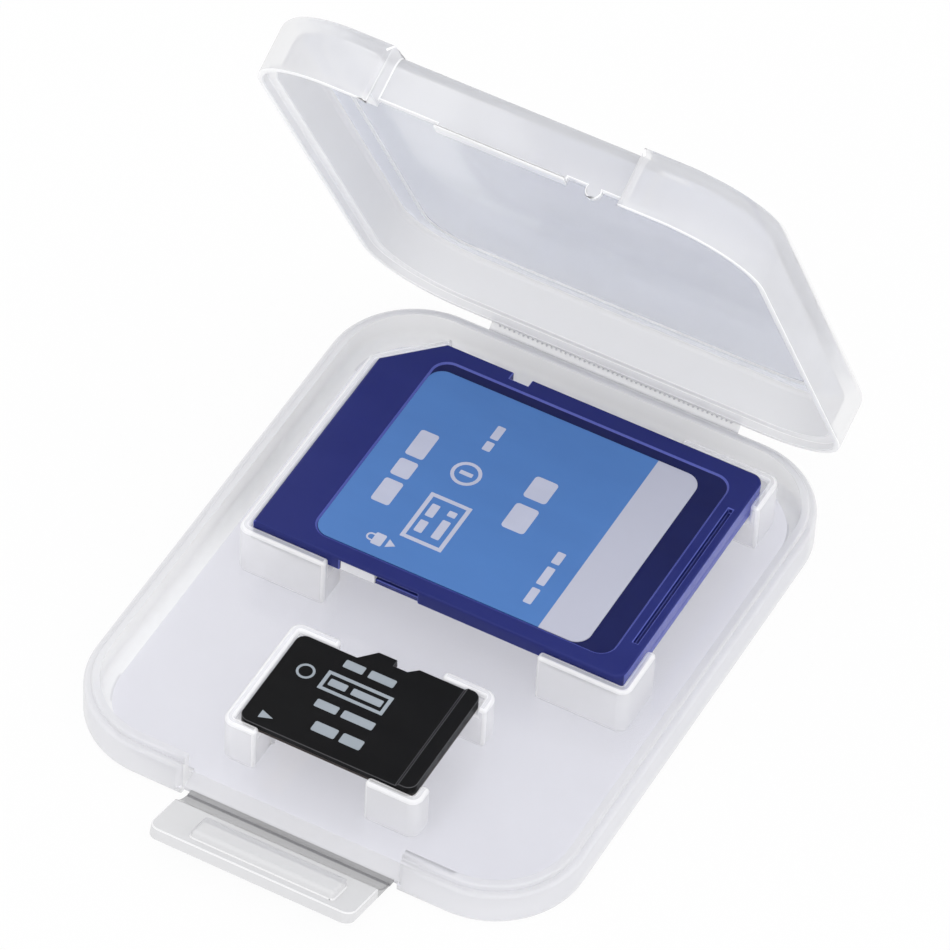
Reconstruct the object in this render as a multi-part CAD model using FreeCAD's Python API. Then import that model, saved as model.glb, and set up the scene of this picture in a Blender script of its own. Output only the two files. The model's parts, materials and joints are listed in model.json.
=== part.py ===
import FreeCAD, Part
import math
import os

V = FreeCAD.Vector
X_AXIS = V(1, 0, 0)

# Memory card case, in millimetres. X runs along the lid hinge, Y from latch to hinge, Z up.
# Origin: middle of the underside of the base. The lid and flap are built shut or flat, then turned.

# Base tray
corner_radius = 7.6
floor_thickness = 0.8
shoulder_height = 3.05
foot_rounding = 0.4
shoulder_rounding = 0.3
lip_inset = 0.6
lip_thickness = 0.65
lip_rise = 0.5
lip_rounding = 0.2
wall_foot_fillet = 1.1

# Latch gap in the front wall, and the sloping front edge of the floor inside it
latch_gap = 18.6
mouth_rounding = 0.5
floor_edge_inset = 1.93
film_edge_inset = 0.65

# Lid
lid_open_deg = 61.8
lid_depth = 4.9
lid_plate = 0.8
lid_wall = 1.3
lid_rim_thickness = 0.48
lid_rebate_depth = 0.7
lid_rounding = 1.0
lid_inner_fillet = 0.5
lid_seat_gap = 0.05
panel_margin = 2.2
panel_depth = 0.15
panel_radius = 4.0

# Recess in the lid's front wall where the flap folds up, with a hanging catch tongue and a small tab
recess_side = 1.0
recess_depth = 2.4
recess_wall = 0.8
recess_edge_rise = 1.1
tongue_side_gap = 4.9
tongue_thickness = 0.7
tongue_clear = 0.6
lug_reach = 0.6
lug_height = 0.28
lug_slope = 0.12
recess_edge_rounding = 1.3
nub_radius = 0.65
nub_side_gap = 2.7
nub_drop = 0.2
nub_thickness = 0.6

# Lid hinge: a flange on each half and the film between them
hinge_length = 22.1
flange_reach = 0.2
flange_thickness = 0.5
hinge_setback = 0.35
hinge_rise = 0.35
hinge_lift = 0.1
film_thickness = 0.25

# Latch flap, drawn flat from its hinge axis outward
latch_open_deg = 17.0
flap_side_gap = 0.6
flap_length = 7.0
flap_thickness = 1.05
flap_corner_radius = 0.9
flap_film_half = 0.25
flap_film_floor = 0.05
trough_length = 2.6
trough_sag = 0.22
bar_start = 3.85
bar_width = 2.4
bar_side_gap = 2.6
bar_offset = 0.6
bar_height = 0.7
bar_rounding = 0.3

# Supports that hold the cards above the floor
support_wall = 0.8
support_clearance = 0.15
support_ledge = 1.95
large_seat_rise = 2.95
large_wall_rise = 1.7
small_seat_rise = 3.4
small_wall_rise = 0.75
large_front_return = 6.8
large_front_right_return = 6.8
large_side_return = 4.0
large_rear_right_return = 7.5
large_rear_return = 3.0
small_front_return = 2.0
small_back_return = 3.1
small_right_return = 3.6
small_front_side_return = 1.1
small_rear_side_return = 1.3

# Room round the two cards inside the case, which sets its plan size
large_margin_left = 5.2
large_margin_right = 4.8
large_margin_back = 5.6
card_gap = 6.12
small_margin_left = 13.58
small_margin_front = 5.28

# Large card, with its contact edge to the left and its cut corner at the back
large_length = 32.0
large_width = 24.0
large_thickness = 2.1
large_top_part = 1.4
large_step = 0.75
large_chamfer = 4.0
large_corner_radius = 1.0
large_edge_rounding = 0.2
large_wall = 1.75
large_roof = 0.4
side_notch_start = 9.9
side_notch_width = 1.65
side_notch_depth = 0.8
label_recess_start = 4.2
label_recess_end_inset = 1.9
label_recess_front = 1.4
label_recess_back_inset = 1.6
label_recess_depth = 0.12
label_recess_radius = 1.4
label_gap = 0.12
label_end_inset = 4.1
label_back_inset = 2.6
label_thickness = 0.08
label_radius = 1.3
grip_slot_start = 3.8
grip_slot_back_inset = 4.3
grip_slot_width = 0.4
grip_slot_depth = 0.5
grip_slot_inset = 0.83

# Write-protect slider in the front edge of the large card
window_start = 7.6
window_length = 6.8
window_depth = 1.3
window_roof = 0.35
rail_height = 0.3
rail_setback = 0.35
slider_length = 2.95
slider_gap = 0.08
slider_depth = 1.15

# Inside of the large card
board_thickness = 0.4
board_gap = 0.15
pad_count = 9
pad_side_gap = 1.8
pad_rib = 0.75
pad_length = 3.4
pad_start = 2.1
pad_thickness = 0.05
pad_window_side = 0.15
pad_window_end = 6.0
memory_chip_start = 15.0
memory_chip_end_gap = 5.0
memory_chip_side_gap = 3.5
memory_chip_height = 0.5
controller_start = 7.4
controller_size = 6.0
controller_height = 0.45
capacitor_count = 4
capacitor_pitch = 3.2
capacitor_length = 1.0
capacitor_width = 0.5
capacitor_height = 0.45
capacitor_end_gap = 3.8

# Small card, laid the same way round
small_length = 15.0
small_width = 11.0
small_thickness = 0.7
small_narrow_step = 1.3
small_corner_radius = 0.8
shoulder_start = 4.9
shoulder_end = 6.1
bump_end = 7.7
catch_end = 8.9
catch_slope_end = 9.6
catch_depth = 0.65
ridge_length = 1.5
ridge_height = 0.3
ridge_slope = 0.25
substrate_thickness = 0.2
small_pad_count = 8
small_pad_side_gap = 0.6
small_pad_rib = 0.3
small_pad_length = 2.6
small_pad_start = 1.0
small_pad_thickness = 0.05
memory_die_start = 6.2
memory_die_end_gap = 2.2
memory_die_side_gap = 1.5
memory_die_height = 0.3
small_controller_start = 2.0
small_controller_size = 3.0
small_controller_height = 0.2

# Overrun of cuts past a face, overlap of joined pieces, reach for finding edges, most of a half width
overrun = 1.0
weld = 0.2
pick_tolerance = 0.002
near_full_share = 0.98

case_width = large_margin_left + large_length + large_margin_right
case_length = small_margin_front + small_width + card_gap + large_width + large_margin_back
front = -case_length / 2
back = case_length / 2
lip_top = shoulder_height + lip_rise
inner_inset = lip_inset + lip_thickness
lid_bottom = shoulder_height + lid_seat_gap
lid_top = lid_bottom + lid_depth
recess_width = latch_gap + recess_side * 2
tongue_width = recess_width - tongue_side_gap * 2
flap_width = latch_gap - flap_side_gap * 2
bar_length = flap_width - bar_side_gap * 2
hinge_y = back + flange_reach + hinge_setback
hinge_z = lid_bottom + hinge_lift
latch_axis_y = front + film_edge_inset - flap_film_half
latch_axis_z = flap_film_floor + film_thickness / 2
large_x = -case_width / 2 + large_margin_left
large_y = back - large_margin_back - large_width
small_x = -case_width / 2 + small_margin_left
small_y = front + small_margin_front
large_seat = floor_thickness + large_seat_rise
small_seat = floor_thickness + small_seat_rise
small_narrow_width = small_width - small_narrow_step
pad_pitch = (large_width - pad_side_gap * 2 + pad_rib) / pad_count
pad_width = pad_pitch - pad_rib
small_pad_pitch = (small_narrow_width - small_pad_side_gap * 2 + small_pad_rib) / small_pad_count
small_pad_width = small_pad_pitch - small_pad_rib
large_split = large_seat + large_thickness - large_top_part
large_top = large_seat + large_thickness


def box(x0, x1, y0, y1, z0, z1):
    return Part.makeBox(x1 - x0, y1 - y0, z1 - z0, V(x0, y0, z0))


def rounded_face(x0, x1, y0, y1, radius, z):
    r = min(radius, (x1 - x0) / 2 * near_full_share, (y1 - y0) / 2 * near_full_share)
    k = r * (1 - math.sqrt(2) / 2)
    lines = [(V(x0 + r, y0, z), V(x1 - r, y0, z)), (V(x1, y0 + r, z), V(x1, y1 - r, z)),
             (V(x1 - r, y1, z), V(x0 + r, y1, z)), (V(x0, y1 - r, z), V(x0, y0 + r, z))]
    mids = [V(x1 - k, y0 + k, z), V(x1 - k, y1 - k, z), V(x0 + k, y1 - k, z), V(x0 + k, y0 + k, z)]
    edges = []
    for i, (a, b) in enumerate(lines):
        edges.append(Part.makeLine(a, b))
        edges.append(Part.Arc(b, mids[i], lines[(i + 1) % len(lines)][0]).toShape())
    return Part.Face(Part.Wire(edges))


def case_prism(inset, z0, z1):
    face = rounded_face(-case_width / 2 + inset, case_width / 2 - inset,
                        front + inset, back - inset, corner_radius - inset, z0)
    return face.extrude(V(0, 0, z1 - z0))


def plan_face(points, z):
    corners = [V(x, y, z) for x, y in points]
    return Part.Face(Part.makePolygon(corners + corners[:1]))


def side_prism(points, width):
    # Extrudes a profile of (y, z) points evenly to both sides along X.
    corners = [V(-width / 2, y, z) for y, z in points]
    return Part.Face(Part.makePolygon(corners + corners[:1])).extrude(V(width, 0, 0))


def level_edges(shape, z):
    return [e for e in shape.Edges if all(abs(v.Z - z) < pick_tolerance for v in e.Vertexes)]


def upright_edges(shape, x, y):
    return [e for e in shape.Edges
            if all(math.hypot(v.X - x, v.Y - y) < pick_tolerance for v in e.Vertexes)]


def mouth(width, depth, z0, z1):
    # Opening in the front wall whose two ends are rounded over at the outer face.
    w = width / 2
    r = mouth_rounding
    k = r * math.sqrt(2) / 2
    out = front - overrun
    p = [V(-w - r, out, z0), V(-w - r, front, z0), V(-w, front + r, z0), V(-w, front + depth, z0),
         V(w, front + depth, z0), V(w, front + r, z0), V(w + r, front, z0), V(w + r, out, z0)]
    left_mid = V(-w - r + k, front + r - k, z0)
    right_mid = V(w + r - k, front + r - k, z0)
    edges = [Part.makeLine(p[0], p[1]), Part.Arc(p[1], left_mid, p[2]).toShape(),
             Part.makeLine(p[2], p[3]), Part.makeLine(p[3], p[4]), Part.makeLine(p[4], p[5]),
             Part.Arc(p[5], right_mid, p[6]).toShape(), Part.makeLine(p[6], p[7]),
             Part.makeLine(p[7], p[0])]
    return Part.Face(Part.Wire(edges)).extrude(V(0, 0, z1 - z0))


def opened(shape):
    # Turns a piece of the shut lid up to its open angle.
    turned = shape.copy()
    turned.rotate(V(0, hinge_y, hinge_z), X_AXIS, -lid_open_deg)
    return turned


def folded_out(shape):
    # Turns a piece of the flat flap up to the angle it stands at.
    turned = shape.copy()
    turned.rotate(V(0, latch_axis_y, latch_axis_z), X_AXIS, -latch_open_deg)
    return turned


def make_base_tray():
    block = case_prism(0, 0, shoulder_height)
    block = block.makeFillet(foot_rounding, level_edges(block, 0))
    block = block.makeFillet(shoulder_rounding, level_edges(block, shoulder_height))
    lip = case_prism(lip_inset, floor_thickness, lip_top)
    lip = lip.makeFillet(lip_rounding, level_edges(lip, lip_top))
    hollow = case_prism(inner_inset, floor_thickness, lip_top + overrun)
    hollow = hollow.makeFillet(wall_foot_fillet, level_edges(hollow, floor_thickness))
    flange = box(-hinge_length / 2, hinge_length / 2, back - lip_inset, back + flange_reach,
                 hinge_z - hinge_rise - flange_thickness, hinge_z - hinge_rise)
    tray = block.fuse([lip, flange]).cut(hollow)
    gap = mouth(latch_gap, inner_inset + wall_foot_fillet, floor_thickness, lip_top + overrun)
    film_top = flap_film_floor + film_thickness
    slope = [(front - overrun, -overrun), (front + film_edge_inset, -overrun),
             (front + film_edge_inset, film_top), (front + floor_edge_inset, floor_thickness),
             (front + floor_edge_inset, lip_top), (front - overrun, lip_top)]
    return tray.cut([gap, side_prism(slope, latch_gap)]).removeSplitter()


def make_lid_hollow():
    hollow = case_prism(lid_wall, lid_bottom - overrun, lid_top - lid_plate)
    hollow = hollow.makeFillet(lid_inner_fillet, level_edges(hollow, lid_top - lid_plate))
    recess_half = recess_width / 2 + lid_wall
    kept = box(-recess_half, recess_half, front - overrun, front + recess_depth + recess_wall,
               lid_bottom - overrun, lid_top)
    return hollow.cut(kept)


def make_catch_tongue():
    wall_y = front + recess_depth
    low = lid_bottom + tongue_clear
    strap = side_prism([(wall_y, low), (wall_y + tongue_thickness, low),
                        (wall_y + tongue_thickness, lid_bottom + recess_edge_rise + weld),
                        (wall_y, lid_bottom + recess_edge_rise + weld)], tongue_width)
    lug = side_prism([(wall_y + weld, low), (wall_y - lug_reach + lug_slope, low),
                      (wall_y - lug_reach, low + lug_slope), (wall_y - lug_reach, low + lug_height),
                      (wall_y + weld, low + lug_height)], tongue_width)
    return strap.fuse(lug)


def make_recess_nub():
    # Small rounded tab under the recessed wall.
    x = recess_width / 2 - nub_side_gap
    centre = V(x, front + recess_depth, lid_bottom + recess_edge_rise - nub_drop)
    return Part.makeCylinder(nub_radius, nub_thickness, centre, V(0, 1, 0))


def make_lid_shell():
    block = case_prism(0, lid_bottom, lid_top)
    block = block.makeFillet(lid_rounding, level_edges(block, lid_top))
    block = block.cut(mouth(recess_width, recess_depth, lid_bottom - overrun, lid_top + overrun))
    edge = [e for e in level_edges(block, lid_top)
            if all(abs(v.Y - front - recess_depth) < pick_tolerance for v in e.Vertexes)]
    block = block.makeFillet(recess_edge_rounding, edge)
    rebate = case_prism(lid_rim_thickness, lid_bottom - overrun, lid_bottom + lid_rebate_depth)
    under_recess = box(-recess_width / 2, recess_width / 2, front - overrun,
                       front + recess_depth + recess_wall + overrun,
                       lid_bottom - overrun, lid_bottom + recess_edge_rise)
    inset = lid_wall + panel_margin
    panel = rounded_face(-case_width / 2 + inset, case_width / 2 - inset, front + inset,
                         back - inset, panel_radius, lid_top - lid_plate - overrun)
    panel = panel.extrude(V(0, 0, overrun + panel_depth))
    shell = block.cut([make_lid_hollow(), rebate, under_recess, panel])
    flange_low = hinge_z + hinge_rise
    flange = box(-hinge_length / 2, hinge_length / 2, back - lid_rim_thickness, back + flange_reach,
                 flange_low, flange_low + flange_thickness)
    return opened(shell.fuse([flange, make_catch_tongue(), make_recess_nub()]).removeSplitter())


def make_lid_hinge_film():
    end = back + flange_reach
    low = hinge_z + hinge_rise
    lid_end = [opened(Part.Vertex(0, end, z)).Point for z in (low + film_thickness, low)]
    high = hinge_z - hinge_rise
    profile = [(end, high), (end, high - film_thickness)]
    return side_prism(profile + [(p.y, p.z) for p in lid_end], hinge_length)


def make_latch_flap():
    root = latch_axis_y - flap_film_half
    tip = latch_axis_y - flap_length
    low = flap_film_floor
    side = -flap_width / 2
    a = V(side, root, low)
    b = V(side, tip, low)
    c = V(side, tip, low + flap_thickness)
    d = V(side, latch_axis_y - trough_length, low + flap_thickness)
    e = V(side, root, low + film_thickness)
    sag = V(side, (d.y + e.y) / 2, (d.z + e.z) / 2 - trough_sag)
    edges = [Part.makeLine(a, b), Part.makeLine(b, c), Part.makeLine(c, d),
             Part.Arc(d, sag, e).toShape(), Part.makeLine(e, a)]
    flap = Part.Face(Part.Wire(edges)).extrude(V(flap_width, 0, 0))
    corners = upright_edges(flap, side, tip) + upright_edges(flap, -side, tip)
    flap = flap.makeFillet(flap_corner_radius, corners)
    top = low + flap_thickness
    bar = box(bar_offset - bar_length / 2, bar_offset + bar_length / 2,
              latch_axis_y - bar_start - bar_width, latch_axis_y - bar_start, top - weld, top + bar_height)
    bottom = level_edges(bar, top - weld)
    free = [e for e in bar.Edges if not any(e.isSame(b) for b in bottom)]
    bar = bar.makeFillet(bar_rounding, free)
    return folded_out(flap.fuse(bar).removeSplitter())


def make_latch_hinge_film():
    root = latch_axis_y - flap_film_half
    start = front + film_edge_inset
    top = flap_film_floor + film_thickness
    ends = [folded_out(Part.Vertex(0, root, z)).Point for z in (top, flap_film_floor)]
    profile = [(start, flap_film_floor), (start, top)] + [(p.y, p.z) for p in ends]
    return side_prism(profile, flap_width)


def large_plan(z):
    x1 = large_x + large_length
    y1 = large_y + large_width
    return plan_face([(large_x, large_y), (x1, large_y), (x1, y1), (large_x + large_chamfer, y1),
                      (large_x, y1 - large_chamfer)], z)


def small_plan(z, catch=True):
    outline = [(0, 0), (small_length, 0), (small_length, small_width)]
    if catch:
        low = small_width - catch_depth
        outline += [(catch_slope_end, small_width), (catch_end, low), (bump_end, low),
                    (bump_end, small_width)]
    outline += [(shoulder_end, small_width), (shoulder_start, small_narrow_width),
                (0, small_narrow_width)]
    return plan_face([(small_x + x, small_y + y) for x, y in outline], z)


def make_supports(plan, seat, wall_rise, regions):
    # Ring around the card with a ledge under its edge, kept only at the given regions.
    height = seat + wall_rise - floor_thickness
    outer = plan(floor_thickness).makeOffset2D(support_clearance + support_wall)
    middle = plan(floor_thickness - overrun).makeOffset2D(-support_ledge)
    pocket = plan(seat).makeOffset2D(support_clearance)
    ring = outer.extrude(V(0, 0, height)).cut([middle.extrude(V(0, 0, height + overrun * 2)),
                                               pocket.extrude(V(0, 0, wall_rise + overrun))])
    top = seat + wall_rise + overrun
    solids = []
    for region in regions:
        boxes = [box(x0, x1, y0, y1, floor_thickness - overrun, top) for x0, x1, y0, y1 in region]
        kept = boxes[0].fuse(boxes[1:]) if len(boxes) > 1 else boxes[0]
        solids += ring.common(kept).removeSplitter().Solids
    return Part.makeCompound(solids)


def make_large_card_supports():
    reach = support_clearance + support_wall + overrun
    x0 = large_x - reach
    x1 = large_x + large_length + reach
    y0 = large_y - reach
    y1 = large_y + large_width + reach
    left = [(x0, large_x + support_ledge, y0, y1 - large_chamfer),
            (x0, large_x + large_front_return, y0, large_y + support_ledge + overrun),
            (x0, large_x + large_chamfer, large_y + large_width - large_chamfer - overrun, y1)]
    end = large_x + large_length
    side = large_y + large_width
    front_right = [(end - large_front_right_return, x1, y0, large_y + large_side_return)]
    rear_right = [(end - large_rear_right_return, x1, side - large_rear_return, y1)]
    return make_supports(large_plan, large_seat, large_wall_rise, [left, front_right, rear_right])


def make_small_card_supports():
    reach = support_clearance + support_wall + overrun
    x0 = small_x - reach
    x1 = small_x + small_length + reach
    y0 = small_y - reach
    y1 = small_y + small_width + reach
    middle = small_y + small_width / 2
    left = [(x0, small_x + small_front_return, y0, middle),
            (x0, small_x + small_back_return, middle, y1)]
    right = small_x + small_length - small_right_return
    front_right = [(right, x1, y0, small_y + small_front_side_return)]
    rear_right = [(right, x1, small_y + small_width - small_rear_side_return, y1)]
    plain = lambda z: small_plan(z, catch=False)
    return make_supports(plain, small_seat, small_wall_rise, [left, front_right, rear_right])


def make_pocket(z0, z1, gap):
    return large_plan(z0).makeOffset2D(-large_wall - gap).extrude(V(0, 0, z1 - z0))


def make_large_card_top_shell():
    shell = large_plan(large_split).extrude(V(0, 0, large_top_part))
    x1 = large_x + large_length
    y1 = large_y + large_width
    corners = upright_edges(shell, x1, large_y) + upright_edges(shell, x1, y1)
    shell = shell.makeFillet(large_corner_radius, corners)
    shell = shell.makeFillet(large_edge_rounding, level_edges(shell, large_top))
    notch = box(large_x + side_notch_start, large_x + side_notch_start + side_notch_width,
                y1 - side_notch_depth, y1 + overrun, large_split - overrun, large_top + overrun)
    w0 = large_x + window_start
    w1 = w0 + window_length
    window = box(w0, w1, large_y - overrun, large_y + window_depth,
                 large_split + rail_height, large_top - window_roof)
    rail_face = box(w0, w1, large_y - overrun, large_y + rail_setback,
                    large_split - overrun, large_split + rail_height)
    recess = rounded_face(large_x + label_recess_start, x1 - label_recess_end_inset,
                          large_y + label_recess_front, y1 - label_recess_back_inset,
                          label_recess_radius, large_top - label_recess_depth)
    recess = recess.extrude(V(0, 0, label_recess_depth + overrun))
    slot_x = x1 - grip_slot_inset
    slot = box(slot_x - grip_slot_width / 2, slot_x + grip_slot_width / 2, large_y + grip_slot_start,
               y1 - grip_slot_back_inset, large_top - grip_slot_depth, large_top + overrun)
    pocket = make_pocket(large_split - overrun, large_top - large_roof, 0)
    return shell.cut([notch, window, rail_face, recess, slot, pocket])


def pad_rows():
    first = large_y + pad_side_gap + pad_width / 2
    return [first + pad_pitch * i for i in range(pad_count)]


def make_large_card_bottom_shell():
    x1 = large_x + large_length
    y0 = large_y + large_step
    y1 = large_y + large_width - large_step
    plan = plan_face([(large_x, y0), (x1, y0), (x1, y1), (large_x + large_chamfer - large_step, y1),
                      (large_x, large_y + large_width - large_chamfer)], large_seat)
    shell = plan.extrude(V(0, 0, large_split - large_seat))
    half = pad_width / 2 + pad_window_side
    windows = [box(large_x - overrun, large_x + pad_window_end, y - half, y + half,
                   large_seat - overrun, large_split + overrun) for y in pad_rows()[1:-1]]
    windows += [box(large_x + pad_start - pad_window_side, large_x + pad_window_end, y - half, y + half,
                    large_seat - overrun, large_split + overrun) for y in pad_rows()[::pad_count - 1]]
    return shell.cut(windows)


def make_large_card_contacts():
    x0 = large_x + pad_start
    return Part.makeCompound([box(x0, x0 + pad_length, y - pad_width / 2, y + pad_width / 2,
                                  large_split - pad_thickness, large_split) for y in pad_rows()])


def make_large_card_circuit_board():
    return make_pocket(large_split, large_split + board_thickness, board_gap)


def make_large_card_memory_chip():
    top = large_split + board_thickness
    return box(large_x + memory_chip_start, large_x + large_length - memory_chip_end_gap,
               large_y + memory_chip_side_gap, large_y + large_width - memory_chip_side_gap,
               top, top + memory_chip_height)


def make_large_card_controller_chip():
    x0 = large_x + controller_start
    mid = large_y + large_width / 2
    top = large_split + board_thickness
    return box(x0, x0 + controller_size, mid - controller_size / 2, mid + controller_size / 2,
               top, top + controller_height)


def make_large_card_capacitors():
    x0 = large_x + large_length - capacitor_end_gap
    first = large_y + large_width / 2 - capacitor_pitch * (capacitor_count - 1) / 2
    top = large_split + board_thickness
    rows = [first + capacitor_pitch * i for i in range(capacitor_count)]
    half = capacitor_width / 2
    return Part.makeCompound([box(x0, x0 + capacitor_length, y - half, y + half, top, top + capacitor_height)
                              for y in rows])


def make_large_card_label():
    z = large_top - label_recess_depth
    face = rounded_face(large_x + label_recess_start + label_gap, large_x + large_length - label_end_inset,
                        large_y + label_recess_front + label_gap, large_y + large_width - label_back_inset,
                        label_radius, z)
    return face.extrude(V(0, 0, label_thickness))


def make_write_protect_slider():
    x0 = large_x + window_start + slider_gap
    x1 = x0 + slider_length
    y0 = large_y + slider_gap
    y1 = large_y + slider_depth
    top = large_top - window_roof - slider_gap
    body = box(x0, x1, y0, y1, large_split + rail_height + slider_gap, top)
    lip = box(x0, x1, y0, large_y + rail_setback - slider_gap, large_split + slider_gap, top)
    return body.fuse(lip).removeSplitter()


def make_small_pads():
    half = small_pad_width / 2
    first = small_y + small_pad_side_gap + half
    rows = [first + small_pad_pitch * i for i in range(small_pad_count)]
    x0 = small_x + small_pad_start
    return Part.makeCompound([box(x0, x0 + small_pad_length, y - half, y + half,
                                  small_seat, small_seat + small_pad_thickness) for y in rows])


def rounded_small(shape):
    places = [(0, 0), (small_length, 0), (small_length, small_width), (0, small_narrow_width)]
    corners = []
    for x, y in places:
        corners += upright_edges(shape, small_x + x, small_y + y)
    return shape.makeFillet(small_corner_radius, corners)


def make_small_card_substrate():
    plate = rounded_small(small_plan(small_seat).extrude(V(0, 0, substrate_thickness)))
    return plate.cut(make_small_pads())


def make_memory_die():
    z0 = small_seat + substrate_thickness
    return box(small_x + memory_die_start, small_x + small_length - memory_die_end_gap,
               small_y + memory_die_side_gap, small_y + small_width - memory_die_side_gap,
               z0, z0 + memory_die_height)


def make_controller_die():
    x0 = small_x + small_controller_start
    mid = small_y + small_narrow_width / 2
    z0 = small_seat + substrate_thickness
    return box(x0, x0 + small_controller_size, mid - small_controller_size / 2,
               mid + small_controller_size / 2, z0, z0 + small_controller_height)


def make_small_card_body():
    z0 = small_seat + substrate_thickness
    top = small_seat + small_thickness
    body = rounded_small(small_plan(z0).extrude(V(0, 0, top + ridge_height - z0)))
    ridge = small_x + small_length - ridge_length
    profile = [V(small_x - overrun, small_y - overrun, top), V(ridge, small_y - overrun, top),
               V(ridge + ridge_slope, small_y - overrun, top + ridge_height),
               V(ridge + ridge_slope, small_y - overrun, top + ridge_height + overrun),
               V(small_x - overrun, small_y - overrun, top + ridge_height + overrun)]
    over = Part.Face(Part.makePolygon(profile + profile[:1])).extrude(V(0, small_width + overrun * 2, 0))
    return body.cut([over, make_memory_die(), make_controller_die()])


nodes = {
    "base_tray": make_base_tray,
    "large_card_supports": make_large_card_supports,
    "small_card_supports": make_small_card_supports,
    "lid_shell": make_lid_shell,
    "lid_hinge_film": make_lid_hinge_film,
    "latch_flap": make_latch_flap,
    "latch_hinge_film": make_latch_hinge_film,
    "large_card_top_shell": make_large_card_top_shell,
    "large_card_bottom_shell": make_large_card_bottom_shell,
    "large_card_label": make_large_card_label,
    "write_protect_slider": make_write_protect_slider,
    "large_card_circuit_board": make_large_card_circuit_board,
    "large_card_contacts": make_large_card_contacts,
    "large_card_memory_chip": make_large_card_memory_chip,
    "large_card_controller_chip": make_large_card_controller_chip,
    "large_card_capacitors": make_large_card_capacitors,
    "small_card_body": make_small_card_body,
    "small_card_substrate": make_small_card_substrate,
    "small_card_contacts": make_small_pads,
    "small_card_memory_die": make_memory_die,
    "small_card_controller_die": make_controller_die,
}

os.makedirs("parts", exist_ok=True)
for name, make in nodes.items():
    make().exportStep("parts/" + name + ".step")
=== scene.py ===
import json
import math

import bmesh
import bpy
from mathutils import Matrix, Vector


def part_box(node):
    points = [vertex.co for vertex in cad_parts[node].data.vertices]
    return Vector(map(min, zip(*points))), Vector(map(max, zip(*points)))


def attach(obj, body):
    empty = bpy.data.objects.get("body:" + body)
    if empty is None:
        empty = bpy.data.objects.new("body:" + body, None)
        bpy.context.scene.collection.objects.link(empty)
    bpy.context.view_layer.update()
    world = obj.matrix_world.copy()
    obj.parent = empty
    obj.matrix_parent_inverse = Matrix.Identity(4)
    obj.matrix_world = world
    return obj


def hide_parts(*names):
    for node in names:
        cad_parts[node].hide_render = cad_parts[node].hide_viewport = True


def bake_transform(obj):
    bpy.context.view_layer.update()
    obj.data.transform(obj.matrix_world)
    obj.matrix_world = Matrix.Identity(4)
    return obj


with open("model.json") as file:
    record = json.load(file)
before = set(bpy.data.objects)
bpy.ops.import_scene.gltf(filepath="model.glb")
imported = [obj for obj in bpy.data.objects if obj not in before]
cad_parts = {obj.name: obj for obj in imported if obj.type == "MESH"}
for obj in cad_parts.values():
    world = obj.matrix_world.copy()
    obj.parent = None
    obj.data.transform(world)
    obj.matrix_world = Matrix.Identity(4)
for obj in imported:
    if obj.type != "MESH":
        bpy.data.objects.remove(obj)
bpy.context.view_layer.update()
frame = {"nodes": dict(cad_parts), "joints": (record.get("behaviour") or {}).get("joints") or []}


# Base tray
# The lower half of the case, one shot of milky natural polypropylene with the lid and the flap.
# Its walls let light through and hide their own back faces, and its floor is polished. The floor and the
# outer faces carry painted shade: the floor is a touch darker and bluer than the walls, and the outer faces
# are a darker copy of the wall resin.
MM = 0.001
nodes = frame["nodes"]


def moulded_skin_group():
    tree = bpy.data.node_groups.new("moulded_skin", "ShaderNodeTree")
    for effect in ("Cloud", "Grain", "Scuff"):
        tree.interface.new_socket(effect + " Scale", in_out="INPUT", socket_type="NodeSocketFloat")
        tree.interface.new_socket(effect, in_out="OUTPUT", socket_type="NodeSocketFloat")
    given = tree.nodes.new("NodeGroupInput")
    out = tree.nodes.new("NodeGroupOutput")
    place = tree.nodes.new("ShaderNodeTexCoord")
    flow = tree.nodes.new("ShaderNodeMapping")
    flow_stretch = (0.35, 1.0, 1.0)
    flow.inputs["Scale"].default_value = flow_stretch
    tree.links.new(place.outputs["Object"], flow.inputs["Vector"])
    still_place = place.outputs["Object"]
    flow_place = flow.outputs["Vector"]
    effects = [("Cloud", 4.0, flow_place), ("Grain", 2.0, still_place), ("Scuff", 6.0, flow_place)]
    for effect, detail, spot in effects:
        noise = tree.nodes.new("ShaderNodeTexNoise")
        noise.inputs["Detail"].default_value = detail
        tree.links.new(spot, noise.inputs["Vector"])
        tree.links.new(given.outputs[effect + " Scale"], noise.inputs["Scale"])
        tree.links.new(noise.outputs["Fac"], out.inputs[effect])
    return tree


moulded_skin = moulded_skin_group()


def ramp_between(tree, value, low, high, start=0.3, end=0.7):
    spread = tree.nodes.new("ShaderNodeMapRange")
    spread.inputs["From Min"].default_value = start
    spread.inputs["From Max"].default_value = end
    spread.inputs["To Min"].default_value = low
    spread.inputs["To Max"].default_value = high
    tree.links.new(value, spread.inputs["Value"])
    return spread.outputs["Result"]


def blended_colour(tree, mask, first, second):
    mix = tree.nodes.new("ShaderNodeMix")
    mix.data_type = "RGBA"
    mix.inputs["A"].default_value = (*first, 1.0)
    mix.inputs["B"].default_value = (*second, 1.0)
    tree.links.new(mask, mix.inputs["Factor"])
    return mix.outputs["Result"]


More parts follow.
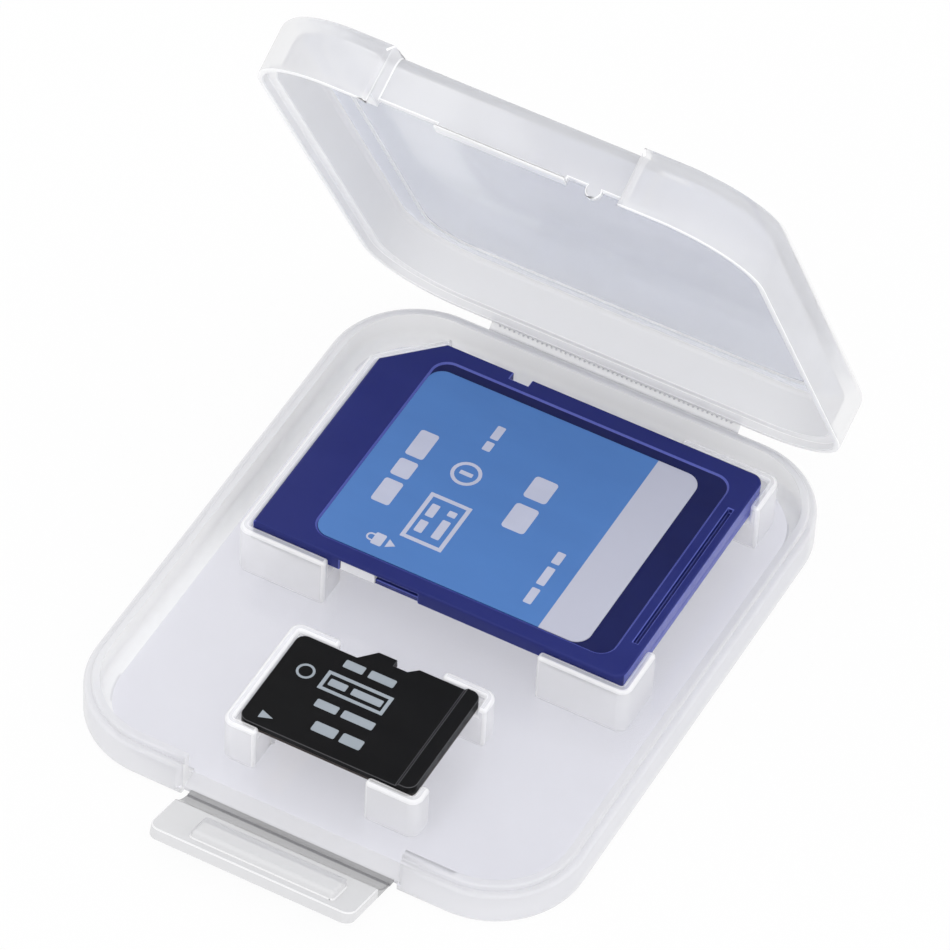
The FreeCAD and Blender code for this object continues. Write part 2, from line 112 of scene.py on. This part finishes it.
def moulded_plastic(name, pale, deep, rough, grain_depth, skin_scales, constants=()):
    material = bpy.data.materials.new(name)
    material.use_nodes = True
    tree = material.node_tree
    shader = tree.nodes["Principled BSDF"]
    for socket, value in constants:
        shader.inputs[socket].default_value = value
    skin = tree.nodes.new("ShaderNodeGroup")
    skin.node_tree = moulded_skin
    for effect, scale in zip(("Cloud", "Grain", "Scuff"), skin_scales):
        skin.inputs[effect + " Scale"].default_value = scale
    cloud = ramp_between(tree, skin.outputs["Cloud"], 0.0, 1.0)
    tree.links.new(blended_colour(tree, cloud, pale, deep), shader.inputs["Base Color"])
    tree.links.new(ramp_between(tree, skin.outputs["Scuff"], *rough), shader.inputs["Roughness"])
    bump = tree.nodes.new("ShaderNodeBump")
    bump.inputs["Strength"].default_value = 0.25
    bump.inputs["Distance"].default_value = grain_depth
    tree.links.new(skin.outputs["Grain"], bump.inputs["Height"])
    tree.links.new(bump.outputs["Normal"], shader.inputs["Normal"])
    return material


case_skin = (120.0, 2600.0, 420.0)
case_grain_depth = 0.004 * MM


def case_resin(name, pale, deep, rough, clearness=0.0, cover=1.0):
    constants = [("IOR", 1.49), ("Transmission Weight", clearness)]
    material = moulded_plastic(name, pale, deep, rough, case_grain_depth, case_skin, constants)
    if cover < 1.0:
        tree = material.node_tree
        sides = tree.nodes.new("ShaderNodeNewGeometry")
        alpha = ramp_between(tree, sides.outputs["Backfacing"], cover, 0.0, 0.0, 1.0)
        tree.links.new(alpha, tree.nodes["Principled BSDF"].inputs["Alpha"])
    return material


def scene_piece(name, mesh, finishes):
    for finish in finishes:
        mesh.materials.append(finish)
    piece = bpy.data.objects.new(name, mesh)
    bpy.context.scene.collection.objects.link(piece)
    return piece


def eased_copy(node, name, body, finishes, width, pick=None, join_flats=True, edge_highlight_finish=None):
    merge_gap = 0.001 * MM
    flat_turn = math.radians(0.5)
    edge_turn = math.radians(25.0)
    work = bmesh.new()
    work.from_mesh(nodes[node].data)
    bmesh.ops.remove_doubles(work, verts=work.verts, dist=merge_gap)
    if join_flats:
        bmesh.ops.dissolve_limit(work, angle_limit=flat_turn, verts=work.verts, edges=work.edges)
    for face in work.faces:
        face.smooth = True
        face.material_index = finishes.index(pick(face)) if pick else 0
    mesh = bpy.data.meshes.new(name)
    work.to_mesh(mesh)
    work.free()
    piece = scene_piece(name, mesh, finishes)
    if width:
        ease = piece.modifiers.new("eased_edges", "BEVEL")
        ease.limit_method = "ANGLE"
        ease.angle_limit = edge_turn
        ease.width = width
        ease.segments = 2
        ease.use_clamp_overlap = False
        # The eased edges take the given painted highlight finish.
        ease.material = finishes.index(edge_highlight_finish)
    else:
        mesh.set_sharp_from_angle(angle=edge_turn)
    even = piece.modifiers.new("even_faces", "WEIGHTED_NORMAL")
    even.keep_sharp = True
    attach(piece, body)
    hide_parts(node)


satin = (0.29, 0.36)
polished = (0.14, 0.22)
tray_walls = case_resin("tray_walls", (0.91, 0.91, 0.92), (0.88, 0.88, 0.89), satin, cover=0.65)
# Polished floor, painted a touch darker and bluer than the walls: painted shade.
tray_floor_shaded = case_resin("tray_floor_shaded", (0.85, 0.85, 0.91), (0.83, 0.83, 0.89), polished, clearness=0.8)
# Outer faces, a darker copy of the wall resin: painted shade.
tray_outside_shaded = case_resin("tray_outside_shaded", (0.68, 0.68, 0.71), (0.65, 0.65, 0.68), satin, cover=0.75)
floor_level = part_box("large_card_supports")[0][2]
floor_slack = 0.05 * MM
level_facing = 0.99
side_facing = 0.2


# Picks each face's finish: the floor and the outer faces take the painted shade.
def tray_face_finish(face):
    middle = face.calc_center_median()
    if abs(face.normal.z) > level_facing and middle.z < floor_level + floor_slack:
        return tray_floor_shaded
    spoke = Vector((middle.x, middle.y, 0.0)).normalized()
    return tray_walls if face.normal.dot(spoke) < -side_facing else tray_outside_shaded


eased_copy("base_tray", "tray_moulding", "base", [tray_walls, tray_floor_shaded, tray_outside_shaded],
           width=0.0, pick=tray_face_finish, join_flats=False)


# Card supports
# Corner posts that stand on the tray floor and hold each card by its edge, from the same shot.
# Their faces are faint, and the rounded edges carry a paler, more solid finish, a painted highlight.
post_satin = (0.3, 0.4)
post_resin = case_resin("post_resin", (0.97, 0.97, 0.98), (0.95, 0.95, 0.96), post_satin, cover=0.4)
# Rounded edges, paler and more solid than the faces: painted highlight.
post_edge_highlight = case_resin("post_edge_highlight", (0.99, 0.99, 0.99), (0.97, 0.97, 0.98), post_satin, cover=0.62)
post_round = 0.27 * MM
for card in ("large_card", "small_card"):
    eased_copy(card + "_supports", card + "_posts", "base", [post_resin, post_edge_highlight],
               post_round, edge_highlight_finish=post_edge_highlight)


# Lid
# The upper half, a shallow tray with a flat polished roof, moulded with the base in the same resin.
# It swings on a thin film and stands open here, so its roof and rim are found along its own axes. Its outer
# faces are a darker copy of the wall resin, painted shade, and its rim and eased edges are painted paler, a
# painted highlight.
joints = {joint["name"]: joint for joint in frame["joints"]}
lid_axis = Vector(joints["lid_hinge"]["pos_m"])
lid_turn = -math.radians(joints["lid_hinge"]["range_deg"][0])
lid_up = Vector((0.0, math.sin(lid_turn), math.cos(lid_turn)))
lid_along = Vector((0.0, -math.cos(lid_turn), math.sin(lid_turn)))
lid_roof_rise = 3.9 * MM
lid_rim_rise = 1.5 * MM
lid_half_length = 26.0 * MM
rim_facing = 0.9
lid_polish = (0.08, 0.14)
lid_walls = case_resin("lid_walls", (0.82, 0.82, 0.84), (0.79, 0.79, 0.81), satin, cover=0.75)
lid_roof = case_resin("lid_roof", (0.87, 0.89, 0.96), (0.85, 0.87, 0.94), lid_polish, clearness=0.65)
# Outer faces, a darker copy of the wall resin: painted shade.
lid_outside_shaded = case_resin("lid_outside_shaded", (0.73, 0.73, 0.75), (0.7, 0.7, 0.72), satin, cover=0.6)
# Rim and eased edges, paler and more solid: painted highlight.
lid_edge_highlight = case_resin("lid_edge_highlight", (0.95, 0.95, 0.96), (0.93, 0.93, 0.94), satin, cover=0.85)


# Picks each face's finish: the rim takes the painted highlight, and the outer faces the painted shade.
def lid_face_finish(face):
    reach = face.calc_center_median() - lid_axis
    rise = reach.dot(lid_up)
    if rise > lid_roof_rise and abs(face.normal.dot(lid_up)) > level_facing:
        return lid_roof
    if rise < lid_rim_rise and face.normal.dot(lid_up) < -rim_facing:
        return lid_edge_highlight
    spoke = reach - lid_up * rise - lid_along * lid_half_length
    return lid_outside_shaded if face.normal.dot(spoke.normalized()) > side_facing else lid_walls


lid_round = 0.1 * MM
eased_copy("lid_shell", "lid_moulding", "lid", [lid_walls, lid_roof, lid_outside_shaded, lid_edge_highlight],
           lid_round, pick=lid_face_finish, join_flats=False, edge_highlight_finish=lid_edge_highlight)


# Lid hinge film
# A thin strip of the same shot between the tray's back wall and the lid's, thinnest at the fold.
# It bends as the lid swings.
def film_strip(name, path, half_width, thick, waist, finish):
    steps = 12
    spots = []
    for step in range(steps + 1):
        share = step / steps
        spots.append(path[0] * (1 - share) ** 2 + path[1] * 2 * share * (1 - share) + path[2] * share ** 2)
    work = bmesh.new()
    rings = []
    for step, spot in enumerate(spots):
        along = spots[min(step + 1, steps)] - spots[max(step - 1, 0)]
        across = Vector((0.0, -along.z, along.y)).normalized()
        half = 0.5 * (thick - (thick - waist) * math.sin(math.pi * step / steps))
        corners = [(-half_width, half), (half_width, half), (half_width, -half), (-half_width, -half)]
        rings.append([work.verts.new(spot + across * out + Vector((x, 0.0, 0.0))) for x, out in corners])
    for first, second in zip(rings, rings[1:]):
        for side in range(4):
            work.faces.new((first[side], first[side - 1], second[side - 1], second[side]))
    work.faces.new(rings[0])
    work.faces.new(reversed(rings[-1]))
    bmesh.ops.recalc_face_normals(work, faces=work.faces)
    mesh = bpy.data.meshes.new(name)
    work.to_mesh(mesh)
    work.free()
    return scene_piece(name, mesh, [finish])


film_resin = case_resin("film_resin", (0.93, 0.93, 0.94), (0.9, 0.9, 0.91), satin, cover=0.75)
lid_film_low, lid_film_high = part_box("lid_hinge_film")
film_tuck = 0.08 * MM
lid_film_thick = 0.26 * MM
lid_film_waist = 0.2 * MM
lid_film_foot_rise = 0.12 * MM
lid_film_head_rise = 0.02 * MM
lid_film_foot = Vector((0.0, lid_film_low[1] - film_tuck, lid_film_low[2] + lid_film_foot_rise))
lid_film_head = Vector((0.0, lid_film_high[1] - film_tuck, lid_film_high[2] + lid_film_head_rise))
lid_film_path = [lid_film_foot, lid_axis, lid_film_head]
lid_film = film_strip("lid_film", lid_film_path, lid_film_high[0], lid_film_thick, lid_film_waist,
                      film_resin)
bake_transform(lid_film)
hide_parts("lid_hinge_film")


# Fold beads
# A row of fine beads of the same resin along the fold line of the lid's film.
# The mould's coined edge leaves them, and they are one shot with the film. They are painted a darker grey
# than the film, painted shade for their dark sides.
def bead_row_tree():
    tree = bpy.data.node_groups.new("bead_row", "GeometryNodeTree")
    sizes = {"Count": "NodeSocketInt", "Pitch": "NodeSocketFloat", "Radius": "NodeSocketFloat",
             "Middle": "NodeSocketVector", "Finish": "NodeSocketMaterial"}
    for socket, kind in sizes.items():
        tree.interface.new_socket(socket, in_out="INPUT", socket_type=kind)
    tree.interface.new_socket("Beads", in_out="OUTPUT", socket_type="NodeSocketGeometry")
    given = tree.nodes.new("NodeGroupInput").outputs
    step = tree.nodes.new("ShaderNodeCombineXYZ")
    tree.links.new(given["Pitch"], step.inputs["X"])
    steps_back = tree.nodes.new("ShaderNodeMath")
    steps_back.operation = "MULTIPLY_ADD"
    steps_back.inputs[1].default_value = -0.5
    steps_back.inputs[2].default_value = 0.5
    tree.links.new(given["Count"], steps_back.inputs[0])
    way_back = tree.nodes.new("ShaderNodeVectorMath")
    way_back.operation = "SCALE"
    tree.links.new(step.outputs["Vector"], way_back.inputs[0])
    tree.links.new(steps_back.outputs["Value"], way_back.inputs["Scale"])
    begin = tree.nodes.new("ShaderNodeVectorMath")
    tree.links.new(way_back.outputs["Vector"], begin.inputs[0])
    tree.links.new(given["Middle"], begin.inputs[1])
    line = tree.nodes.new("GeometryNodeMeshLine")
    tree.links.new(given["Count"], line.inputs["Count"])
    tree.links.new(begin.outputs["Vector"], line.inputs["Start Location"])
    tree.links.new(step.outputs["Vector"], line.inputs["Offset"])
    bead = tree.nodes.new("GeometryNodeMeshIcoSphere")
    bead.inputs["Subdivisions"].default_value = 2
    tree.links.new(given["Radius"], bead.inputs["Radius"])
    row = tree.nodes.new("GeometryNodeInstanceOnPoints")
    tree.links.new(line.outputs["Mesh"], row.inputs["Points"])
    tree.links.new(bead.outputs["Mesh"], row.inputs["Instance"])
    real = tree.nodes.new("GeometryNodeRealizeInstances")
    tree.links.new(row.outputs["Instances"], real.inputs["Geometry"])
    finish = tree.nodes.new("GeometryNodeSetMaterial")
    tree.links.new(real.outputs["Geometry"], finish.inputs["Geometry"])
    tree.links.new(given["Finish"], finish.inputs["Material"])
    out = tree.nodes.new("NodeGroupOutput")
    tree.links.new(finish.outputs["Geometry"], out.inputs["Beads"])
    return tree


def grown_mesh(name, tree, values):
    seed = scene_piece(name + "_seed", bpy.data.meshes.new(name + "_seed"), [])
    grow = seed.modifiers.new("grow", "NODES")
    grow.node_group = tree
    for socket in tree.interface.items_tree:
        if socket.in_out == "INPUT":
            grow[socket.identifier] = values[socket.name]
    seen = seed.evaluated_get(bpy.context.evaluated_depsgraph_get())
    mesh = bpy.data.meshes.new_from_object(seen)
    bpy.data.objects.remove(seed)
    return scene_piece(name, mesh, [])


bead_gloss = (0.1, 0.2)
# Darker grey than the film: painted shade on the beads.
bead_shade_resin = case_resin("bead_shade_resin", (0.62, 0.62, 0.65), (0.52, 0.52, 0.55), bead_gloss)
bead_offset = Vector((0.0, -0.09, 0.06)) * MM
bead_values = {"Count": 50, "Pitch": 0.42 * MM, "Radius": 0.11 * MM,
               "Middle": lid_axis + bead_offset, "Finish": bead_shade_resin}
fold_beads = grown_mesh("fold_beads", bead_row_tree(), bead_values)
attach(fold_beads, "base")


# Latch flap
# The front tab of the same resin that folds up over the lid's catch, with a raised bar on its inner face.
# The stretch beside its hinge film is painted darker than the rest, a painted dark reflection, and its eased
# edges are painted paler, a painted highlight.
def tint_beyond(material, tint, axis, start, fade):
    tree = material.node_tree
    colour = tree.nodes["Principled BSDF"].inputs["Base Color"]
    plain = colour.links[0].from_socket
    place = tree.nodes.new("ShaderNodeTexCoord")
    parts = tree.nodes.new("ShaderNodeSeparateXYZ")
    tree.links.new(place.outputs["Object"], parts.inputs["Vector"])
    mask = ramp_between(tree, parts.outputs[axis], 0.0, 1.0, start, start + fade)
    mix = tree.nodes.new("ShaderNodeMix")
    mix.data_type = "RGBA"
    mix.inputs["B"].default_value = (*tint, 1.0)
    tree.links.new(mask, mix.inputs["Factor"])
    tree.links.new(plain, mix.inputs["A"])
    tree.links.new(mix.outputs["Result"], colour)


flap_gloss = (0.15, 0.22)
flap_resin = case_resin("flap_resin", (0.57, 0.57, 0.59), (0.54, 0.54, 0.56), flap_gloss, cover=0.66)
# Eased edges, paler and more solid: painted highlight.
flap_edge_highlight = case_resin("flap_edge_highlight", (0.8, 0.8, 0.81), (0.77, 0.77, 0.78), flap_gloss, cover=0.8)
# Darker stretch beside the hinge film: painted dark reflection.
dark_band_reflection = (0.16, 0.16, 0.17)
dark_band_end = -27.95 * MM
dark_band_fade = 0.15 * MM
for finish in (flap_resin, flap_edge_highlight):
    tint_beyond(finish, dark_band_reflection, "Y", dark_band_end, dark_band_fade)
flap_round = 0.1 * MM
eased_copy("latch_flap", "latch_tab", "latch", [flap_resin, flap_edge_highlight],
           flap_round, edge_highlight_finish=flap_edge_highlight)


# Latch hinge film
# A thin strip of the same shot between the tray's front edge and the flap, where the mould coined it; its
# grey is a painted dark reflection.
# It bends as the flap folds.
latch_axis = Vector(joints["latch_hinge"]["pos_m"])
latch_film_low, latch_film_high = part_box("latch_hinge_film")
latch_film_thick = 0.25 * MM
latch_film_waist = 0.2 * MM
latch_film_foot_rise = 0.125 * MM
latch_film_head_rise = 0.22 * MM
latch_film_tuck = 0.04 * MM
latch_film_under = latch_film_low[2]
latch_film_foot = Vector((0.0, latch_film_high[1] + film_tuck, latch_film_under + latch_film_foot_rise))
latch_film_head = Vector((0.0, latch_film_low[1] - latch_film_tuck, latch_film_under + latch_film_head_rise))
latch_film_path = [latch_film_foot, latch_axis, latch_film_head]
band_gloss = (0.15, 0.25)
# Grey of the film: painted dark reflection.
band_reflection_resin = case_resin("band_reflection_resin", (0.5, 0.5, 0.51), (0.45, 0.45, 0.46), band_gloss, clearness=0.3)
latch_film = film_strip("latch_film", latch_film_path, latch_film_high[0], latch_film_thick,
                        latch_film_waist, band_reflection_resin)
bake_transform(latch_film)
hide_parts("latch_hinge_film")


# Full-size card shells
# Two navy shells of hard satin plastic, welded together along the edge.
# The recess for the label is painted darker, a painted shade, and the eased edges and the grip end are
# painted paler, a painted highlight.
card_skin = (300.0, 5200.0, 900.0)
shell_satin = (0.2, 0.26)
shell_grain_depth = 0.006 * MM
dull = [("Specular IOR Level", 0.15)]
shell_navy = moulded_plastic("shell_navy", (0.019, 0.026, 0.16), (0.016, 0.022, 0.145), shell_satin,
                             shell_grain_depth, card_skin, dull)
# Darker label recess: painted shade.
recess_navy_shade = moulded_plastic("recess_navy_shade", (0.009, 0.013, 0.085), (0.008, 0.011, 0.075), shell_satin,
                              shell_grain_depth, card_skin, dull)
# Paler eased edges and grip end: painted highlight.
navy_highlight = moulded_plastic("navy_highlight", (0.08, 0.1, 0.43), (0.07, 0.09, 0.4), shell_satin,
                            shell_grain_depth, card_skin)
label_low, label_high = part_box("large_card_label")
seat_slack = 0.02 * MM
grip_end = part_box("large_card_top_shell")[1][0]
grip_depth = 0.6 * MM
end_facing = 0.9


# The grip end's outer faces take the painted highlight.
def lower_shell_finish(face):
    at_grip = face.calc_center_median().x > grip_end - grip_depth
    return navy_highlight if at_grip and face.normal.x > end_facing else shell_navy


# The recess floor takes the painted shade.
def upper_shell_finish(face):
    at_seat = abs(face.calc_center_median().z - label_low[2]) < seat_slack
    return recess_navy_shade if at_seat and face.normal.z > level_facing else lower_shell_finish(face)


shell_finishes = [shell_navy, recess_navy_shade, navy_highlight]
shell_round = 0.08 * MM
eased_copy("large_card_top_shell", "large_card_upper_shell", "large_card",
           shell_finishes, shell_round, pick=upper_shell_finish, edge_highlight_finish=navy_highlight)
eased_copy("large_card_bottom_shell", "large_card_lower_shell", "large_card",
           shell_finishes, shell_round, pick=lower_shell_finish, edge_highlight_finish=navy_highlight)


# Full-size card label
# A printed film, blue with a silver grey band at the grip end.
# It is glued into the upper shell's recess.
def dress(node, material):
    nodes[node].data.materials.clear()
    nodes[node].data.materials.append(material)


label_sheen = (0.35, 0.45)
label_grain_depth = 0.003 * MM
label_blue = moulded_plastic("label_blue", (0.075, 0.2, 0.5), (0.07, 0.185, 0.47), label_sheen,
                             label_grain_depth, card_skin, [("Specular IOR Level", 0.3)])
band_silver = (0.5, 0.51, 0.6)
band_start = 8.2 * MM
band_fade = 0.02 * MM
tint_beyond(label_blue, band_silver, "X", band_start, band_fade)
dress("large_card_label", label_blue)


# Printing on the label
# Pale ink on the film: bars for lines of words, a frame, a ring, and a padlock with an arrow by the slider.
# Each mark is a thin flat outline. Its places and sizes are in millimetres in the shared frame.
def ink_bar(x, y, across, along):
    corner_share = 0.15
    corner = corner_share * min(across, along)
    arcs = 4
    outline = []
    for side_x, side_y, start in ((1, 1, 0.0), (-1, 1, 90.0), (-1, -1, 180.0), (1, -1, 270.0)):
        for step in range(arcs + 1):
            angle = math.radians(start + 90.0 * step / arcs)
            outline.append((x + side_x * (across / 2 - corner) + corner * math.cos(angle),
                            y + side_y * (along / 2 - corner) + corner * math.sin(angle)))
    return outline


def ink_line(x, start, height, words, gap):
    bars = []
    for word in words:
        bars.append(ink_bar(x, start + word / 2, height, word))
        start += word + gap
    return bars


def ink_arc(x, y, outer, inner, start):
    arcs = 12
    angles = [math.radians(start + 180.0 * step / arcs) for step in range(arcs + 1)]
    arc = [(x + outer * math.cos(angle), y + outer * math.sin(angle)) for angle in angles]
    arc += [(x + inner * math.cos(angle), y + inner * math.sin(angle)) for angle in reversed(angles)]
    return arc


def ink_ring(x, y, outer, inner):
    return [ink_arc(x, y, outer, inner, 0.0), ink_arc(x, y, outer, inner, 180.0)]


def ink_frame(x, y, across, along, line):
    sides = [ink_bar(x + end * (across - line) / 2, y, line, along) for end in (-1, 1)]
    ends = [ink_bar(x, y + end * (along - line) / 2, across - 2 * line, line) for end in (-1, 1)]
    return sides + ends


def ink_arrow(x, y, length, half_width):
    return [(x, y - half_width), (x + length, y), (x, y + half_width)]


def padlock(x, y, bow_outer=0.4, bow_inner=0.25, leg=0.2, body_across=0.9, body_along=1.25):
    bow = ink_arc(x, y, bow_outer, bow_inner, 90.0)
    leg_place = (bow_outer + bow_inner) / 2
    legs = [ink_bar(x + leg / 2, y + side * leg_place, leg, bow_outer - bow_inner) for side in (-1, 1)]
    return [bow, *legs, ink_bar(x + leg + body_across / 2, y, body_across, body_along)]


def printed_marks(name, outlines, level, body, material):
    ink = 0.01 * MM
    work = bmesh.new()
    for outline in outlines:
        low = [work.verts.new((x * MM, y * MM, level - ink)) for x, y in outline]
        high = [work.verts.new((x * MM, y * MM, level + ink)) for x, y in outline]
        work.faces.new(high)
        work.faces.new(reversed(low))
        for place in range(len(outline)):
            work.faces.new((low[place - 1], low[place], high[place], high[place - 1]))
    bmesh.ops.recalc_face_normals(work, faces=work.faces)
    mesh = bpy.data.meshes.new(name)
    work.to_mesh(mesh)
    work.free()
    print_piece = scene_piece(name, mesh, [material])
    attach(print_piece, body)


ink_skin = (500.0, 6000.0, 1500.0)
ink_sheen = (0.4, 0.5)
ink_grain_depth = 0.002 * MM
label_ink = moulded_plastic("label_ink", (0.52, 0.54, 0.66), (0.48, 0.5, 0.62), ink_sheen,
                            ink_grain_depth, ink_skin)
label_marks = ink_line(x=-8.4, start=3.0, height=1.6, words=(2.6, 1.9, 2.9), gap=0.5)
label_marks += ink_frame(x=-3.6, y=3.4, across=3.6, along=5.2, line=0.35)
label_marks += ink_line(x=-4.4, start=1.8, height=0.7, words=(1.3, 1.4), gap=0.5)
label_marks += ink_line(x=-2.9, start=1.8, height=0.7, words=(2.1, 0.6), gap=0.5)
label_marks += ink_ring(x=-4.0, y=9.0, outer=1.25, inner=0.95)
label_marks += [ink_bar(x=-4.0, y=9.0, across=1.1, along=0.4)]
label_marks += ink_line(x=-3.9, start=11.9, height=0.7, words=(1.0, 1.5), gap=0.35)
label_marks += ink_line(x=1.8, start=5.6, height=2.0, words=(2.8, 2.4), gap=0.8)
label_marks += ink_line(x=6.3, start=-0.4, height=0.7, words=(1.7, 2.0, 1.3), gap=0.45)
label_marks += padlock(x=-7.2, y=-0.4)
label_marks += [ink_arrow(x=-5.8, y=-0.4, length=0.7, half_width=0.45)]
printed_marks("label_print", label_marks, label_high[2], "large_card", label_ink)


# Write-protect slider
# A small key of white satin plastic that locks the card.
# It sits in a slot in the card's side, and slides along it.
slider_satin = (0.3, 0.4)
slider_grain_depth = 0.004 * MM
slider_white = moulded_plastic("slider_white", (0.8, 0.8, 0.82), (0.75, 0.75, 0.78), slider_satin,
                               slider_grain_depth, card_skin)
dress("write_protect_slider", slider_white)


# Full-size card insides
# A green board with gold plated pads below, two moulded chips and small fired capacitors on top.
# The two shells hold the board by its edge, and what is on it is soldered.
board_sheen = (0.25, 0.4)
board_grain_depth = 0.004 * MM
board_green = moulded_plastic("board_green", (0.02, 0.17, 0.075), (0.014, 0.13, 0.055), board_sheen,
                              board_grain_depth, case_skin)
dress("large_card_circuit_board", board_green)
pad_sheen = (0.2, 0.35)
pad_grain_depth = 0.002 * MM
pad_gold = moulded_plastic("pad_gold", (0.85, 0.62, 0.24), (0.78, 0.55, 0.2), pad_sheen,
                           pad_grain_depth, case_skin, [("Metallic", 1.0)])
dress("large_card_contacts", pad_gold)
chip_matt = (0.5, 0.65)
chip_grain_depth = 0.008 * MM
chip_black = moulded_plastic("chip_black", (0.02, 0.02, 0.022), (0.014, 0.014, 0.016), chip_matt,
                             chip_grain_depth, case_skin)
dress("large_card_memory_chip", chip_black)
dress("large_card_controller_chip", chip_black)
clay_matt = (0.4, 0.55)
clay_grain_depth = 0.005 * MM
fired_clay = moulded_plastic("fired_clay", (0.42, 0.3, 0.18), (0.36, 0.25, 0.14), clay_matt,
                             clay_grain_depth, case_skin)
dress("large_card_capacitors", fired_clay)


# Miniature card block
# The card's body of black satin resin, its eased edges painted paler, a painted highlight.
# It is moulded over the laminate and the dies, with a raised lip at one end for a fingernail.
card_satin = (0.3, 0.42)
card_grain_depth = 0.005 * MM
card_black = moulded_plastic("card_black", (0.006, 0.006, 0.0065), (0.004, 0.004, 0.0045), card_satin,
                             card_grain_depth, card_skin, [("Specular IOR Level", 0.1)])
# Paler eased edges: painted highlight.
card_edge_highlight = moulded_plastic("card_edge_highlight", (0.05, 0.05, 0.055), (0.04, 0.04, 0.045), card_satin,
                            card_grain_depth, card_skin)
card_round = 0.05 * MM
eased_copy("small_card_body", "small_card_block", "small_card", [card_black, card_edge_highlight],
           card_round, edge_highlight_finish=card_edge_highlight)


# Printing on the miniature card
# Grey ink on the block's top: rows of bars for words, a frame, a ring and an arrow at the contact end.
# Each row is its place along the card, the bars' size that way, and each bar's place and size across.
card_ink = moulded_plastic("card_ink", (0.33, 0.37, 0.41), (0.3, 0.34, 0.38), ink_sheen,
                           ink_grain_depth, ink_skin)
card_marks = []
word_rows = [(-12.0, 0.8, ((0.2, 2.2), (-2.2, 1.7))), (-14.2, 0.7, ((0.1, 2.6), (-2.4, 1.5))),
             (-16.5, 0.8, ((0.6, 2.7), (-2.1, 1.9))), (-18.6, 1.0, ((1.2, 1.8), (-1.1, 2.0)))]
for y, along, words in word_rows:
    card_marks += [ink_bar(x, y, across, along) for x, across in words]
card_marks += ink_frame(x=-0.9, y=-14.2, across=5.6, along=2.0, line=0.3)
card_marks += ink_ring(x=-5.2, y=-14.2, outer=0.75, inner=0.55)
card_marks += [ink_arrow(x=-6.1, y=-19.6, length=1.1, half_width=0.4)]
card_top = 4.9 * MM
printed_marks("small_card_print", card_marks, card_top, "small_card", card_ink)


# Miniature card insides
# A brown laminate with gold plated pads below, and two polished silicon dies bonded on top.
# The resin block holds them all.
laminate_matt = (0.4, 0.5)
laminate_grain_depth = 0.004 * MM
laminate_brown = moulded_plastic("laminate_brown", (0.035, 0.022, 0.016), (0.02, 0.014, 0.011),
                                 laminate_matt, laminate_grain_depth, case_skin)
dress("small_card_substrate", laminate_brown)
dress("small_card_contacts", pad_gold)
die_polish = (0.1, 0.2)
die_grain_depth = 0.001 * MM
die_grey = moulded_plastic("die_grey", (0.2, 0.21, 0.24), (0.17, 0.18, 0.21), die_polish,
                           die_grain_depth, case_skin)
dress("small_card_memory_die", die_grey)
dress("small_card_controller_die", die_grey)


# Stage
# A pale floor that glows where it is seen, in a white room that is brighter in front.
# A long lens stands at the front right, above the case.
def either(tree, first, second):
    larger = tree.nodes.new("ShaderNodeMath")
    larger.operation = "MAXIMUM"
    tree.links.new(first, larger.inputs[0])
    tree.links.new(second, larger.inputs[1])
    return larger.outputs["Value"]


def glowing_white():
    glow_share = 0.94
    material = bpy.data.materials.new("floor_white")
    material.use_nodes = True
    tree = material.node_tree
    shader = tree.nodes["Principled BSDF"]
    shader.inputs["Base Color"].default_value = (0.8, 0.8, 0.8, 1.0)
    shader.inputs["Roughness"].default_value = 0.9
    glow = tree.nodes.new("ShaderNodeEmission")
    path = tree.nodes.new("ShaderNodeLightPath").outputs
    seen = either(tree, path["Is Camera Ray"], path["Is Glossy Ray"])
    seen = either(tree, seen, path["Is Transmission Ray"])
    mix = tree.nodes.new("ShaderNodeMixShader")
    tree.links.new(ramp_between(tree, seen, 0.0, glow_share, 0.0, 1.0), mix.inputs["Fac"])
    tree.links.new(shader.outputs["BSDF"], mix.inputs[1])
    tree.links.new(glow.outputs["Emission"], mix.inputs[2])
    tree.links.new(mix.outputs["Shader"], tree.nodes["Material Output"].inputs["Surface"])
    return material


floor_reach = 2.0
floor_drop = -0.02 * MM
floor_sides = ((-1, -1), (1, -1), (1, 1), (-1, 1))
floor_corners = [(x * floor_reach, y * floor_reach, floor_drop) for x, y in floor_sides]
floor_mesh = bpy.data.meshes.new("floor")
floor_mesh.from_pydata(floor_corners, [], [(0, 1, 2, 3)])
scene_piece("floor", floor_mesh, [glowing_white()])


def white_room(front, low, high):
    world = bpy.data.worlds.new("studio")
    world.use_nodes = True
    tree = world.node_tree
    place = tree.nodes.new("ShaderNodeTexCoord")
    facing = tree.nodes.new("ShaderNodeVectorMath")
    facing.operation = "DOT_PRODUCT"
    facing.inputs[1].default_value = Vector(front).normalized()
    tree.links.new(place.outputs["Generated"], facing.inputs[0])
    level = ramp_between(tree, facing.outputs["Value"], low, high, 0.0, 1.0)
    tree.links.new(level, tree.nodes["Background"].inputs["Strength"])
    tree.nodes["Background"].inputs["Color"].default_value = (1.0, 1.0, 1.0, 1.0)
    bpy.context.scene.world = world


white_room(front=(0.6, -0.55, 0.58), low=0.95, high=1.5)

lens = bpy.data.cameras.new("long_lens")
lens.lens = 294.67
lens.sensor_width = 36.0
lens.clip_end = 10.0
camera_turns_degrees = (42.5352, -2.2499, 28.4176)
camera = bpy.data.objects.new("camera", lens)
camera.location = Vector((174.667, -356.301, 448.233)) * MM
camera.rotation_euler = [math.radians(turn) for turn in camera_turns_degrees]
bpy.context.scene.collection.objects.link(camera)
bpy.context.scene.camera = camera
bpy.context.scene.view_settings.view_transform = "Standard"
